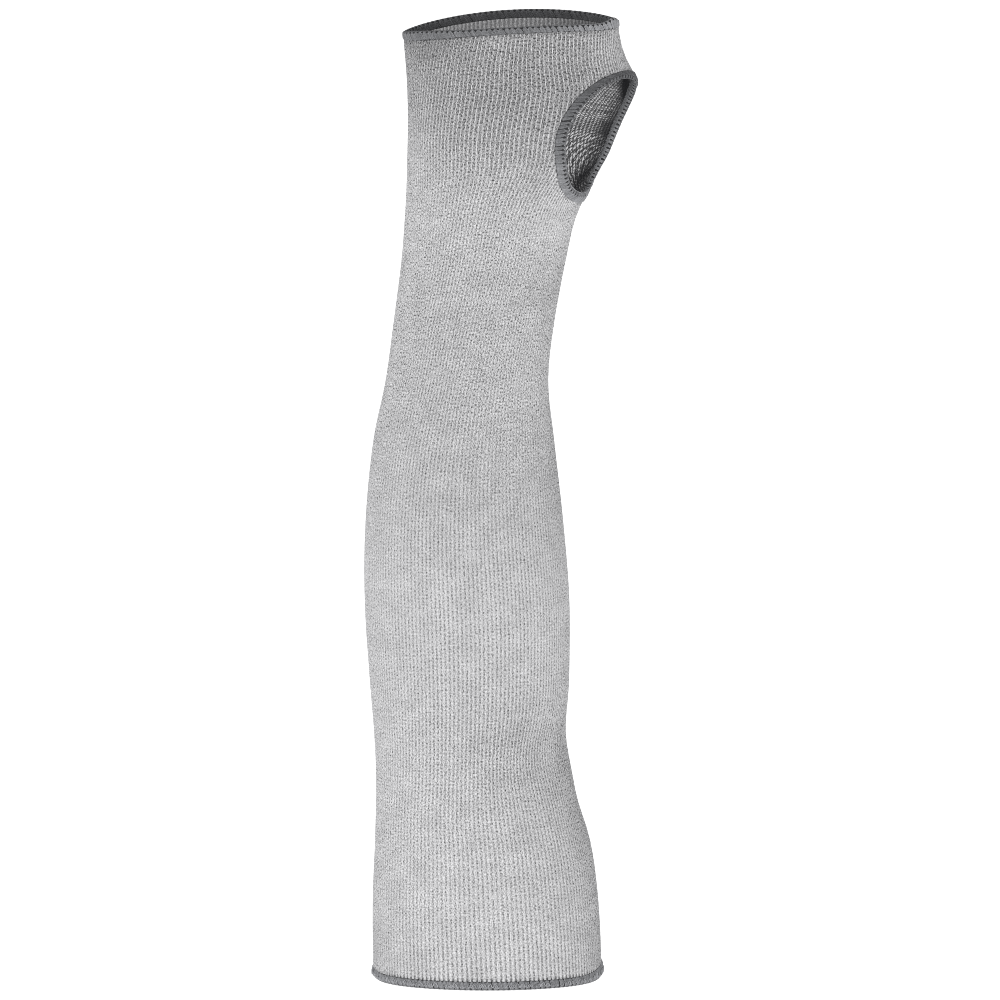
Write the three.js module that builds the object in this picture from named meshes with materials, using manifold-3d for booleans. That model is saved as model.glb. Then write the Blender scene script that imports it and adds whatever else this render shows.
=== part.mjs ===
// A knitted arm sleeve with a thumb opening, in the shape that it takes on a raised arm.
// Millimetres, +Z up: the arm goes in at the bottom and the fingers come out at the top.
// +X is the thumb side, -Y the front of the hand, and the origin the middle of the arm opening.
import * as THREE from 'three';
import { mergeVertices } from 'three/addons/utils/BufferGeometryUtils.js';
import Module from 'manifold-3d';

// Driving dimensions of the knit
const KNIT_THICKNESS = 1.2;

// The overlocked hems: thread wrapped over each raw edge of the knit, with widths as seen from outside
const HEM_GAP = 0.35;
const HEM_THREAD = 0.6;
const HAND_HEM_WIDTH = 3.9;
const THUMB_HEM_WIDTH = 4.4;
const ARM_HEM_WIDTH = 5.2;

// The hand edge: its height at the sides, its rise to the thumb side and to the front, and its arch between
const HAND_EDGE_HEIGHT = 458.5;
const HAND_EDGE_RISE_TO_THUMB = 2.9;
const HAND_EDGE_RISE_TO_FRONT = 0.5;
const HAND_EDGE_ARCH = 4.0;

// The arm edge rises between the sides too
const ARM_EDGE_ARCH = 3.0;

// The thumb opening, an oval laid round the thumb side: heights in millimetres, angles in degrees.
// Its top leans to the front.
const THUMB_MIDDLE_HEIGHT = 407.5;
const THUMB_HALF_HEIGHT = 28;
const THUMB_MIDDLE_ANGLE = -19;
const THUMB_HALF_ANGLE = 48;
const THUMB_LEAN_ANGLE = 4;

// How finely the faceted solids are cut
const SIDES_ROUND_SLEEVE = 52;
const STEPS_ROUND_THUMB = 44;
const STEPS_OVER_HEM = 4;
const RING_SPANS = [
  { stretch: 'arm hem', top: 10, rings: 2 },
  { stretch: 'arm and wrist', top: 353, rings: 17 },
  { stretch: 'hand', top: HAND_EDGE_HEIGHT, rings: 17 },
];

// Oval sections of the worn sleeve: how far its outer face reaches to each side of the arm axis
const SECTIONS = [
  { height: 0, left: 54.6, right: 55.0, front: 44.0, back: 48.5 },
  { height: 37, left: 54.8, right: 53.2, front: 44.5, back: 48.0 },
  { height: 66, left: 53.6, right: 49.3, front: 44.5, back: 47.5 },
  { height: 95, left: 53.0, right: 41.8, front: 44.0, back: 47.0 },
  { height: 117, left: 53.8, right: 38.6, front: 43.5, back: 46.5 },
  { height: 143, left: 55.8, right: 39.2, front: 43.0, back: 46.0 },
  { height: 183, left: 58.2, right: 39.2, front: 42.5, back: 45.5 },
  { height: 221, left: 57.7, right: 36.2, front: 40.5, back: 43.0 },
  { height: 260, left: 53.9, right: 31.9, front: 36.0, back: 39.0 },
  { height: 289, left: 48.0, right: 29.0, front: 32.0, back: 35.0 },
  { height: 318, left: 44.0, right: 31.9, front: 29.5, back: 32.0 },
  { height: 347, left: 40.3, right: 37.4, front: 28.5, back: 29.0 },
  { height: 367, left: 38.7, right: 41.6, front: 28.5, back: 27.5 },
  { height: 381, left: 37.9, right: 48.5, front: 29.0, back: 27.0 },
  { height: 398, left: 37.4, right: 63.5, front: 30.0, back: 26.5 },
  { height: 415, left: 37.1, right: 70.2, front: 31.0, back: 26.0 },
  { height: 433, left: 37.5, right: 70.6, front: 32.0, back: 25.0 },
  { height: 443, left: 38.2, right: 65.8, front: 32.5, back: 24.0 },
  { height: 453, left: 39.0, right: 62.6, front: 33.0, back: 23.0 },
  { height: 467, left: 39.6, right: 61.4, front: 33.5, back: 22.0 },
];

// Soft creases: where each lies, how deep it sinks, and how far it spreads along and round the sleeve
const CREASES = [
  { place: 'crook of the elbow', height: 111, angle: -50, sink: 4.5, along: 17, around: 42, slant: 0.12 },
  { place: 'upper arm, thumb side', height: 81, angle: -12, sink: 1.5, along: 12, around: 26, slant: 0.1 },
  { place: 'wrist, thumb side', height: 337, angle: -42, sink: 1.8, along: 10, around: 30, slant: 0.15 },
  { place: 'wrist, outer side', height: 297, angle: -122, sink: 1.2, along: 13, around: 28, slant: -0.1 },
];

const wasm = await Module();
wasm.setup();

const radians = THREE.MathUtils.degToRad;

const REACHES = ['left', 'right', 'front', 'back'];
const sectionCurve = new THREE.CubicInterpolant(
  SECTIONS.map((section) => section.height),
  SECTIONS.flatMap((section) => REACHES.map((reach) => section[reach])),
  REACHES.length,
);

// How far the creases sink the face at one place
function creaseSink(angle, height) {
  let total = 0;
  for (const crease of CREASES) {
    const turn = THREE.MathUtils.radToDeg(angle) - crease.angle;
    const aside = THREE.MathUtils.euclideanModulo(turn + 180, 360) - 180;
    const above = height - crease.height - crease.slant * aside;
    total += crease.sink * Math.exp(-((above / crease.along) ** 2) - (aside / crease.around) ** 2);
  }
  return total;
}

// A point of the outer face. The angle starts at the thumb side and turns by the back.
function facePoint(angle, height) {
  const [left, right, front, back] = sectionCurve.evaluate(height);
  const sink = creaseSink(angle, height);
  return new THREE.Vector3(
    (right - left) / 2 + ((right + left) / 2 - sink) * Math.cos(angle),
    (back - front) / 2 + ((back + front) / 2 - sink) * Math.sin(angle),
    height,
  );
}

// The directions round and up the face at one place, each per unit of its own coordinate
const SMALL_TURN = 1e-3;
const SMALL_RISE = 1e-2;
function faceTangents(angle, height) {
  const round = facePoint(angle + SMALL_TURN, height).sub(facePoint(angle - SMALL_TURN, height));
  const up = facePoint(angle, height + SMALL_RISE).sub(facePoint(angle, height - SMALL_RISE));
  return { round: round.divideScalar(2 * SMALL_TURN), up: up.divideScalar(2 * SMALL_RISE) };
}

function faceNormal(angle, height) {
  const { round, up } = faceTangents(angle, height);
  return round.cross(up).normalize();
}

// A point at a distance outside the outer face, or inside it where the distance is negative
function liftedPoint(angle, height, lift) {
  return facePoint(angle, height).addScaledVector(faceNormal(angle, height), lift);
}

// A closed solid from loops of points, where the last loop joins the first and each loop closes on itself
function bandGeometry(loops) {
  const sides = loops[0].length;
  const index = [];
  for (let row = 0; row < loops.length; row += 1) {
    const here = row * sides;
    const next = ((row + 1) % loops.length) * sides;
    for (let side = 0; side < sides; side += 1) {
      const beside = (side + 1) % sides;
      index.push(here + side, here + beside, next + beside);
      index.push(here + side, next + beside, next + side);
    }
  }
  return new THREE.BufferGeometry().setFromPoints(loops.flat()).setIndex(index);
}

// A closed solid from two loops with a point beyond each
function plugGeometry(innerLoop, outerLoop, innerPoint, outerPoint) {
  const sides = innerLoop.length;
  const innerTip = 2 * sides;
  const outerTip = innerTip + 1;
  const index = [];
  for (let side = 0; side < sides; side += 1) {
    const beside = (side + 1) % sides;
    index.push(side, beside, sides + beside);
    index.push(side, sides + beside, sides + side);
    index.push(beside, side, innerTip);
    index.push(sides + side, sides + beside, outerTip);
  }
  const points = [...innerLoop, ...outerLoop, innerPoint, outerPoint];
  return new THREE.BufferGeometry().setFromPoints(points).setIndex(index);
}

function solidFrom(geometry) {
  const merged = mergeVertices(geometry);
  return new wasm.Manifold(new wasm.Mesh({
    numProp: 3,
    vertProperties: new Float32Array(merged.getAttribute('position').array),
    triVerts: new Uint32Array(merged.getIndex().array),
  }));
}

function geometryFrom(solid) {
  const mesh = solid.getMesh();
  const geometry = new THREE.BufferGeometry();
  geometry.setAttribute('position', new THREE.BufferAttribute(mesh.vertProperties, mesh.numProp));
  geometry.setIndex(new THREE.BufferAttribute(mesh.triVerts, 1));
  return geometry;
}

// The three raw edges of the knit, each a place on the face for a share of the way round.
// Each runs so that the cloth lies on its right, seen from outside.
const HEM_NOSE = HEM_GAP + HEM_THREAD;
const TURN = 2 * Math.PI;

function handEdge(share) {
  const angle = TURN * share;
  const arch = HAND_EDGE_ARCH * Math.sin(angle) ** 2;
  const tilt = HAND_EDGE_RISE_TO_THUMB * Math.cos(angle) - HAND_EDGE_RISE_TO_FRONT * Math.sin(angle);
  return { angle, height: HAND_EDGE_HEIGHT + arch + tilt };
}

function armEdge(share) {
  const angle = -TURN * share;
  return { angle, height: HEM_NOSE + ARM_EDGE_ARCH * Math.sin(angle) ** 2 };
}

function thumbEdge(share) {
  const way = TURN * share;
  const turn = THUMB_HALF_ANGLE * Math.cos(way) - THUMB_LEAN_ANGLE * Math.sin(way);
  return {
    angle: radians(THUMB_MIDDLE_ANGLE + turn),
    height: THUMB_MIDDLE_HEIGHT + THUMB_HALF_HEIGHT * Math.sin(way),
  };
}

// The shares of the sleeve's height where its rings lie
function ringShares() {
  const heights = [HEM_NOSE];
  for (const { top, rings } of RING_SPANS) {
    const bottom = heights.at(-1);
    for (let ring = 1; ring <= rings; ring += 1) {
      heights.push(THREE.MathUtils.lerp(bottom, top, ring / rings));
    }
  }
  return heights.map((height) => (height - HEM_NOSE) / (HAND_EDGE_HEIGHT - HEM_NOSE));
}

// One ring of the tube. The rings pass little by little from the arm edge's tilt and arch to the hand edge's.
function tubeRing(share, lift) {
  const loop = [];
  for (let side = 0; side < SIDES_ROUND_SLEEVE; side += 1) {
    const top = handEdge(side / SIDES_ROUND_SLEEVE);
    const bottom = armEdge(-side / SIDES_ROUND_SLEEVE);
    const height = THREE.MathUtils.lerp(bottom.height, top.height, share);
    loop.push(liftedPoint(top.angle, height, lift));
  }
  return loop;
}

// The knitted tube: a wall up the outer face and down the inner one
function tubeWall() {
  const shares = ringShares();
  const outerRings = shares.map((share) => tubeRing(share, 0));
  const innerRings = shares.map((share) => tubeRing(share, -KNIT_THICKNESS));
  return bandGeometry([...outerRings, ...innerRings.reverse()]);
}

// What is cut out of the wall for the thumb
const THUMB_CUT_MARGIN = 2;
const THUMB_CUT_REACH = 60;
function thumbCut() {
  const innerLoop = [];
  const outerLoop = [];
  for (let step = 0; step < STEPS_ROUND_THUMB; step += 1) {
    const { angle, height } = thumbEdge(step / STEPS_ROUND_THUMB);
    innerLoop.push(liftedPoint(angle, height, -KNIT_THICKNESS - THUMB_CUT_MARGIN));
    outerLoop.push(liftedPoint(angle, height, THUMB_CUT_MARGIN));
  }
  const middleAngle = radians(THUMB_MIDDLE_ANGLE);
  const innerPoint = liftedPoint(middleAngle, THUMB_MIDDLE_HEIGHT, -THUMB_CUT_REACH);
  const outerPoint = liftedPoint(middleAngle, THUMB_MIDDLE_HEIGHT, THUMB_CUT_REACH);
  return plugGeometry(innerLoop, outerLoop, innerPoint, outerPoint);
}

// The section of a hem that wraps an edge: inset runs from the edge into the cloth, lift out of the face
function hemSection(width) {
  const reach = width - HEM_NOSE;
  const outerLift = HEM_GAP + HEM_THREAD;
  const middleLift = -KNIT_THICKNESS / 2;
  const halfThickness = outerLift - middleLift;
  const section = [
    { inset: reach, lift: HEM_GAP },
    { inset: reach, lift: HEM_GAP + HEM_THREAD / 2 },
    { inset: reach - HEM_THREAD, lift: outerLift },
  ];
  for (let step = 0; step <= STEPS_OVER_HEM; step += 1) {
    const turn = Math.PI * (step / STEPS_OVER_HEM);
    section.push({
      inset: -HEM_NOSE * Math.sin(turn),
      lift: middleLift + halfThickness * Math.cos(turn),
    });
  }
  section.push(
    { inset: reach - HEM_THREAD, lift: 2 * middleLift - outerLift },
    { inset: reach, lift: -KNIT_THICKNESS - HEM_GAP - HEM_THREAD / 2 },
    { inset: reach, lift: -KNIT_THICKNESS - HEM_GAP },
    { inset: -HEM_GAP, lift: -KNIT_THICKNESS - HEM_GAP },
    { inset: -HEM_GAP, lift: HEM_GAP },
  );
  return section;
}

// A hem along an edge. A step into the cloth follows the curve of the face.
const SMALL_SHARE = 1e-4;
function hemGeometry(edge, steps, width) {
  const section = hemSection(width);
  const loops = section.map(() => []);
  for (let step = 0; step < steps; step += 1) {
    const share = step / steps;
    const { angle, height } = edge(share);
    const before = edge(share - SMALL_SHARE);
    const after = edge(share + SMALL_SHARE);
    const along = facePoint(after.angle, after.height).sub(facePoint(before.angle, before.height));
    const inward = along.cross(faceNormal(angle, height)).normalize();

    const { round, up } = faceTangents(angle, height);
    const area = round.lengthSq() * up.lengthSq() - round.dot(up) ** 2;
    const turnRate = (inward.dot(round) * up.lengthSq() - inward.dot(up) * round.dot(up)) / area;
    const riseRate = (inward.dot(up) * round.lengthSq() - inward.dot(round) * round.dot(up)) / area;
    section.forEach(({ inset, lift }, row) => {
      loops[row].push(liftedPoint(angle + inset * turnRate, height + inset * riseRate, lift));
    });
  }
  return bandGeometry(loops);
}

const knitFinish = { color: 0xbcbcbe, roughness: 0.95, metalness: 0 };
const hemFinish = { color: 0x7c7d80, roughness: 0.9, metalness: 0 };

function piece(name, geometry, finish) {
  const mesh = new THREE.Mesh(geometry, new THREE.MeshStandardMaterial(finish));
  mesh.name = name;
  return mesh;
}

const sleeve = new THREE.Group();
sleeve.name = 'sleeve_protector';
const tube = solidFrom(tubeWall()).subtract(solidFrom(thumbCut()));
sleeve.add(
  piece('knit_tube', geometryFrom(tube), knitFinish),
  piece('hand_hem', hemGeometry(handEdge, SIDES_ROUND_SLEEVE, HAND_HEM_WIDTH), hemFinish),
  piece('thumb_hem', hemGeometry(thumbEdge, STEPS_ROUND_THUMB, THUMB_HEM_WIDTH), hemFinish),
  piece('arm_hem', hemGeometry(armEdge, SIDES_ROUND_SLEEVE, ARM_HEM_WIDTH), hemFinish),
);

export default sleeve;
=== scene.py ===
# %% [markdown]
# # A knitted arm sleeve with a thumb opening
#
# A sleeve protector is one seamless tube of grey jersey knit. The arm goes in at the bottom, the fingers
# come out at the top, and the thumb has an oval opening of its own. Every raw edge is overlocked with
# darker thread. The sleeve is shown in the form that a raised arm gives it.
#
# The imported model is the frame: it says where everything is, in metres with +Z up, and the new pieces are
# made over it.

# %% Load the frame
import math
import bpy
import numpy as np
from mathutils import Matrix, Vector


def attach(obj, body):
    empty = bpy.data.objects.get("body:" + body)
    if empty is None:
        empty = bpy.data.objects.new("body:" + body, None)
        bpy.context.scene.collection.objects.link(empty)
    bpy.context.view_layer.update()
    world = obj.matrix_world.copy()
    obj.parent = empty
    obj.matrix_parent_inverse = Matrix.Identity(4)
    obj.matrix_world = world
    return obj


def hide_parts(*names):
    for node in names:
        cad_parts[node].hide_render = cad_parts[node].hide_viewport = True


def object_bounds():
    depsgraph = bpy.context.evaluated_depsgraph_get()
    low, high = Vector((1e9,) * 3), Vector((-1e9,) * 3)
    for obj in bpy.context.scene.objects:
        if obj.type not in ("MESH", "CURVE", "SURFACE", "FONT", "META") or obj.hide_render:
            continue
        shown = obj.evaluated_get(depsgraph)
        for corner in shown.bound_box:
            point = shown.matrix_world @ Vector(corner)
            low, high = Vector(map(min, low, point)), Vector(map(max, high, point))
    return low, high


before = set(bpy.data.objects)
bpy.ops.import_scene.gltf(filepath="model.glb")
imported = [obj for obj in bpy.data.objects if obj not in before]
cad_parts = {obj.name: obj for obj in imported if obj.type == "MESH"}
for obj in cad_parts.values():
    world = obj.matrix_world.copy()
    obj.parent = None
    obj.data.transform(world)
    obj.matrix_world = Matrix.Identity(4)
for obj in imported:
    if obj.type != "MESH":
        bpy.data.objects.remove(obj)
cad_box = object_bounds()
scene = bpy.context.scene
print("CAD nodes:", sorted(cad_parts))

# %% [markdown]
# ## The camera
#
# A long lens from far away keeps the sides of the sleeve nearly parallel, as in the photograph, and a
# camera a little above the sleeve shows the inside of the hand opening. The aim is close to the middle of
# the sleeve, and the lens follows from how much of the scene the picture takes in at that distance.

# %% Place the camera
CAMERA_AIM = Vector((0.0062, 0, 0.2317))
CAMERA_DISTANCE = 4.0
CAMERA_ELEVATION = math.radians(11)
VIEW_WIDTH = 0.4752
SENSOR_WIDTH = 36

camera_back = Vector((0, -math.cos(CAMERA_ELEVATION), math.sin(CAMERA_ELEVATION)))
bpy.ops.object.camera_add(location=CAMERA_AIM + camera_back * CAMERA_DISTANCE)
camera = bpy.context.object
camera.name = "camera"
camera.rotation_euler = (-camera_back).to_track_quat("-Z", "Y").to_euler()
camera.data.sensor_width = SENSOR_WIDTH
camera.data.lens = SENSOR_WIDTH * CAMERA_DISTANCE / VIEW_WIDTH
scene.camera = camera
print(f"lens {camera.data.lens:.0f} mm")

# %% [markdown]
# ## Floor and light
#
# The photograph has an evenly lit white ground without shadows. A floor that glows a little, as a light
# table does, stays white right up to the hem. It lies just below the lowest threads of the arm hem. A white
# sky lights the sleeve from all round, a large soft key lamp to the front left makes that side lighter than
# the other, and a weaker fill lamp on the right shines into the thumb opening. The Standard view transform
# keeps white at full white. The grain of the knit is as fine as a pixel, so the denoiser, which would smooth
# it away, is off, and the pixel filter is narrow.

# %% Make the floor, the sky and the lamps
PIXEL_FILTER_WIDTH = 1.0
FLOOR_SIZE = 60
FLOOR_DROP = 0.0018
FLOOR_GREY = (0.3, 0.3, 0.3, 1)
FLOOR_GLOW = 1.0
WHITE = (1, 1, 1, 1)
SKY_STRENGTH = 0.60
LAMP_SIZE = 1.8
KEY_PLACE = Vector((-1.5, -2.9, 0.45))
KEY_POWER = 42
FILL_PLACE = Vector((0.9, -3.2, 0.9))
FILL_POWER = 6

scene.view_settings.view_transform = "Standard"
scene.cycles.use_denoising = False
scene.cycles.filter_width = PIXEL_FILTER_WIDTH

bpy.ops.mesh.primitive_plane_add(size=FLOOR_SIZE, location=(0, 0, cad_box[0].z - FLOOR_DROP))
floor = bpy.context.object
floor.name = "floor"
floor_finish = bpy.data.materials.new("floor_white")
floor_finish.use_nodes = True
floor_shader = floor_finish.node_tree.nodes["Principled BSDF"]
floor_shader.inputs["Base Color"].default_value = FLOOR_GREY
floor_shader.inputs["Roughness"].default_value = 1
floor_shader.inputs["Emission Color"].default_value = WHITE
floor_shader.inputs["Emission Strength"].default_value = FLOOR_GLOW
floor.data.materials.append(floor_finish)

sky = bpy.data.worlds.new("studio_sky")
sky.use_nodes = True
sky.node_tree.nodes["Background"].inputs["Strength"].default_value = SKY_STRENGTH
sky.node_tree.nodes["Background"].inputs["Color"].default_value = WHITE
scene.world = sky

for name, place, power in (("key_lamp", KEY_PLACE, KEY_POWER), ("fill_lamp", FILL_PLACE, FILL_POWER)):
    bpy.ops.object.light_add(type="AREA", location=place)
    lamp = bpy.context.object
    lamp.name = name
    lamp.data.size = LAMP_SIZE
    lamp.data.energy = power
    lamp.rotation_euler = (place - CAMERA_AIM).to_track_quat("Z", "Y").to_euler()
print("floor at", round(floor.location.z, 4))

# %% [markdown]
# ## The worn form
#
# The arm inside gives the sleeve its form: wide at the upper arm, bent at the elbow, narrow at the wrist
# and wide again over the hand, where the thumb pushes it out to one side. Each row of the table is an oval
# section: a height, and how far the outer face reaches from the arm's axis to the left, right, front and
# back. A smooth curve runs through the rows, and a few soft creases sink the face where the arm bends.
# These are the sections that the frame's own solid was made with.

# %% Sections and creases of the sleeve
SECTIONS = np.array([
    (0.000, 0.0546, 0.0550, 0.0440, 0.0485),
    (0.037, 0.0548, 0.0532, 0.0445, 0.0480),
    (0.066, 0.0536, 0.0493, 0.0445, 0.0475),
    (0.095, 0.0530, 0.0418, 0.0440, 0.0470),
    (0.117, 0.0538, 0.0386, 0.0435, 0.0465),
    (0.143, 0.0558, 0.0392, 0.0430, 0.0460),
    (0.183, 0.0582, 0.0392, 0.0425, 0.0455),
    (0.221, 0.0577, 0.0362, 0.0405, 0.0430),
    (0.260, 0.0539, 0.0319, 0.0360, 0.0390),
    (0.289, 0.0480, 0.0290, 0.0320, 0.0350),
    (0.318, 0.0440, 0.0319, 0.0295, 0.0320),
    (0.347, 0.0403, 0.0374, 0.0285, 0.0290),
    (0.367, 0.0387, 0.0416, 0.0285, 0.0275),
    (0.381, 0.0379, 0.0485, 0.0290, 0.0270),
    (0.398, 0.0374, 0.0635, 0.0300, 0.0265),
    (0.415, 0.0371, 0.0702, 0.0310, 0.0260),
    (0.433, 0.0375, 0.0706, 0.0320, 0.0250),
    (0.443, 0.0382, 0.0658, 0.0325, 0.0240),
    (0.453, 0.0390, 0.0626, 0.0330, 0.0230),
    (0.467, 0.0396, 0.0614, 0.0335, 0.0220),
])

# height, angle in degrees, sink, spread along, spread round in degrees, slant per degree
CREASES = (
    (0.111, -50, 0.0045, 0.017, 42, 0.00012),
    (0.081, -12, 0.0015, 0.012, 26, 0.00010),
    (0.337, -42, 0.0018, 0.010, 30, 0.00015),
    (0.297, -122, 0.0012, 0.013, 28, -0.00010),
)


def smooth_table(table, height):
    """The columns after the first, on a smooth curve through the table's rows, at each height."""
    heights, values = table[:, 0], table[:, 1:]
    spans = np.diff(heights)
    slopes = np.diff(values, axis=0) / spans[:, None]
    tangents = np.empty_like(values)
    tangents[1:-1] = (values[2:] - values[:-2]) / (heights[2:] - heights[:-2])[:, None]
    tangents[0] = 1.5 * slopes[0] - 0.5 * tangents[1]
    tangents[-1] = 1.5 * slopes[-1] - 0.5 * tangents[-2]
    row = np.clip(np.searchsorted(heights, height) - 1, 0, len(spans) - 1)
    way = ((height - heights[row]) / spans[row])[..., None]
    start = (1 + 2 * way) * (1 - way) ** 2 * values[row]
    leave = way * (1 - way) ** 2 * spans[row][..., None] * tangents[row]
    end = way ** 2 * (3 - 2 * way) * values[row + 1]
    arrive = way ** 2 * (way - 1) * spans[row][..., None] * tangents[row + 1]
    return np.moveaxis(start + leave + end + arrive, -1, 0)


print("hand width", np.round(smooth_table(SECTIONS, np.array([0.45]))[:2].sum() * 1000, 1), "mm")

# %% [markdown]
# A place on the face has an angle round the arm and a height. The face could be a mesh, drawn from section to
# section, but as a function of angle and height it can be asked for any point: the knit, the hems and the
# plug that cuts the thumb opening are all laid on it.

# %% Points of the outer face
def degrees_from(angle, middle):
    """How many degrees each angle lies from a middle angle, the short way round."""
    return (np.degrees(angle) - middle + 180) % 360 - 180


def spot(angle, height, spot_height, spot_angle, along, around, slant=0.0):
    """A soft round spot on the sleeve: 1 in its middle, fading to 0."""
    aside = degrees_from(angle, spot_angle)
    above = height - spot_height - slant * aside
    return np.exp(-(above / along) ** 2 - (aside / around) ** 2)


def face_point(angle, height):
    """Points of the outer face. Angle 0 is the thumb side, and a quarter turn on is the back."""
    left, right, front, back = smooth_table(SECTIONS, height)
    sink = 0
    for crease_height, crease_angle, depth, along, around, slant in CREASES:
        sink = sink + depth * spot(angle, height, crease_height, crease_angle, along, around, slant)
    across = (right - left) / 2 + ((right + left) / 2 - sink) * np.cos(angle)
    deep = (back - front) / 2 + ((back + front) / 2 - sink) * np.sin(angle)
    return np.stack([across, deep, height], axis=-1)


SMALL_TURN = 1e-3
SMALL_RISE = 1e-5


def face_tangents(angle, height):
    """Directions round and up the face, each per unit of its own coordinate."""
    turned = face_point(angle + SMALL_TURN, height) - face_point(angle - SMALL_TURN, height)
    raised = face_point(angle, height + SMALL_RISE) - face_point(angle, height - SMALL_RISE)
    return turned / (2 * SMALL_TURN), raised / (2 * SMALL_RISE)


def unit(vectors):
    return vectors / np.linalg.norm(vectors, axis=-1, keepdims=True)


def lifted_point(angle, height, lift):
    """Points at a distance outside the outer face, or inside it where the distance is negative."""
    around, up = face_tangents(angle, height)
    return face_point(angle, height) + unit(np.cross(around, up)) * np.asarray(lift)[..., None]


print("thumb side of the wrist at", np.round(face_point(0.0, np.array([0.289]))[0], 4))

# %% [markdown]
# ## The three raw edges
#
# The knit ends in three edges: round the arm, round the hand and round the thumb. Each is a closed line on
# the face, so a share of the way round gives an angle and a height. The hand edge arches over front and
# back and stands up a little at its two front corners, and the thumb opening is an oval that swells at its
# top. The lines could be drawn as curves, but as functions they serve twice: the knit ends along them, and
# the overlock stitches are laid on them, so the stitches sit on the edge.

# %% Edges of the knit
HEM_NOSE = 0.00095
HAND_EDGE_HEIGHT = 0.4585
HAND_EDGE_RISE_TO_THUMB = 0.0029
HAND_EDGE_RISE_TO_FRONT = -0.0005
HAND_EDGE_ARCH = 0.0037
# rise, angle in degrees and spread in degrees of the two front corners
HAND_EDGE_LEFT_RISE = (0.0014, -150, 28)
HAND_EDGE_THUMB_RISE = (0.0022, -16, 11)
ARM_EDGE_ARCH = 0.0025
ARM_EDGE_DROP = 0.0012
THUMB_MIDDLE_HEIGHT = 0.4075
THUMB_HALF_HEIGHT = 0.028
THUMB_MIDDLE_ANGLE = -19
THUMB_HALF_ANGLE = 48
THUMB_LEAN_ANGLE = 4
THUMB_TOP_SWELL = 0.065
THUMB_TOP_WAY = 97
THUMB_TOP_SPREAD = 38
TURN = 2 * math.pi
EDGE_SHARES = np.linspace(0, 1, 721)


def hand_edge_rise(angle):
    """How far the hand edge stands above its even curve, near its two ends on the front."""
    total = 0
    for rise, middle, spread in (HAND_EDGE_LEFT_RISE, HAND_EDGE_THUMB_RISE):
        total = total + rise * np.exp(-(degrees_from(angle, middle) / spread) ** 2)
    return total


def hand_edge(share):
    angle = TURN * share
    tilt = HAND_EDGE_RISE_TO_THUMB * np.cos(angle) - HAND_EDGE_RISE_TO_FRONT * np.sin(angle)
    arch = HAND_EDGE_ARCH * np.sin(angle) ** 2
    return angle, HAND_EDGE_HEIGHT + arch + tilt + hand_edge_rise(angle)


def arm_edge(share):
    angle = -TURN * share
    return angle, HEM_NOSE + ARM_EDGE_ARCH * np.sin(angle) ** 2 - ARM_EDGE_DROP * np.cos(angle) ** 4


def thumb_edge(share):
    way = TURN * share
    swell = 1 + THUMB_TOP_SWELL * np.exp(-(degrees_from(way, THUMB_TOP_WAY) / THUMB_TOP_SPREAD) ** 2)
    turn = swell * (THUMB_HALF_ANGLE * np.cos(way) - THUMB_LEAN_ANGLE * np.sin(way))
    rise = swell * THUMB_HALF_HEIGHT * np.sin(way)
    return np.radians(THUMB_MIDDLE_ANGLE + turn), THUMB_MIDDLE_HEIGHT + rise


def edge_length(edge):
    points = face_point(*edge(EDGE_SHARES))
    return np.linalg.norm(np.diff(points, axis=0), axis=1).sum()


for edge in (arm_edge, hand_edge, thumb_edge):
    print(edge.__name__, "is", round(edge_length(edge) * 1000), "mm long")

# %% [markdown]
# ## Flat panels
#
# The knit and the cores of the hems start as flat panels of four-sided faces: Blender's own grid, which
# brings a flat map along. The points of a panel could be moved one by one, but read into one array they move
# all at once, which is much faster. Numbers are stored on the points in the same way.

# %% Helpers for panels
def deselect_all():
    if bpy.context.object and bpy.context.object.mode != "OBJECT":
        bpy.ops.object.mode_set(mode="OBJECT")
    bpy.ops.object.select_all(action="DESELECT")


def select_only(piece):
    deselect_all()
    piece.select_set(True)
    bpy.context.view_layer.objects.active = piece


def add_panel(name, across, up):
    """A flat panel of four-sided faces, one metre a side, with a map of its own."""
    deselect_all()
    bpy.ops.mesh.primitive_grid_add(x_subdivisions=across, y_subdivisions=up, size=1)
    panel = bpy.context.object
    panel.name = name
    panel.data.uv_layers[0].name = "flat_map"
    return panel


def get_points(piece):
    points = np.empty(len(piece.data.vertices) * 3)
    piece.data.vertices.foreach_get("co", points)
    return points.reshape(-1, 3)


def set_points(piece, points):
    piece.data.vertices.foreach_set("co", np.ascontiguousarray(points).ravel())
    piece.data.update()


def mark_points(piece, name, values):
    """Stores a number on every point of a mesh, for the finishes to read."""
    stored = piece.data.attributes.new(name, "FLOAT", "POINT")
    stored.data.foreach_set("value", np.broadcast_to(values, len(piece.data.vertices)).astype(float))


def read_marks(piece, name):
    values = np.empty(len(piece.data.vertices))
    piece.data.attributes[name].data.foreach_get("value", values)
    return values


def merge_seams(piece, distance=1e-6):
    select_only(piece)
    bpy.ops.object.mode_set(mode="EDIT")
    bpy.ops.mesh.select_all(action="SELECT")
    bpy.ops.mesh.remove_doubles(threshold=distance)
    bpy.ops.object.mode_set(mode="OBJECT")


def apply_modifier(piece, kind, **settings):
    select_only(piece)
    modifier = piece.modifiers.new(kind.lower(), kind)
    for setting, value in settings.items():
        setattr(modifier, setting, value)
    bpy.ops.object.modifier_apply(modifier=modifier.name)


# %% [markdown]
# ## The knit
#
# A jersey knit is made of columns of loops, called wales, that run up the sleeve. The knit could be a tube
# from the start, but a flat panel that is rolled up round the arm keeps its own flat map: across the panel
# are the wales and up the panel are the rows, so the stitches of the finish later follow the cloth
# wherever it bends. Each wale gets four columns of faces, enough to raise a real rib, which fades out
# where a hem presses the cloth flat. The wales don't run straight up: between forearm and wrist, and again
# over the hand, the cloth turns a little on the arm.

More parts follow.
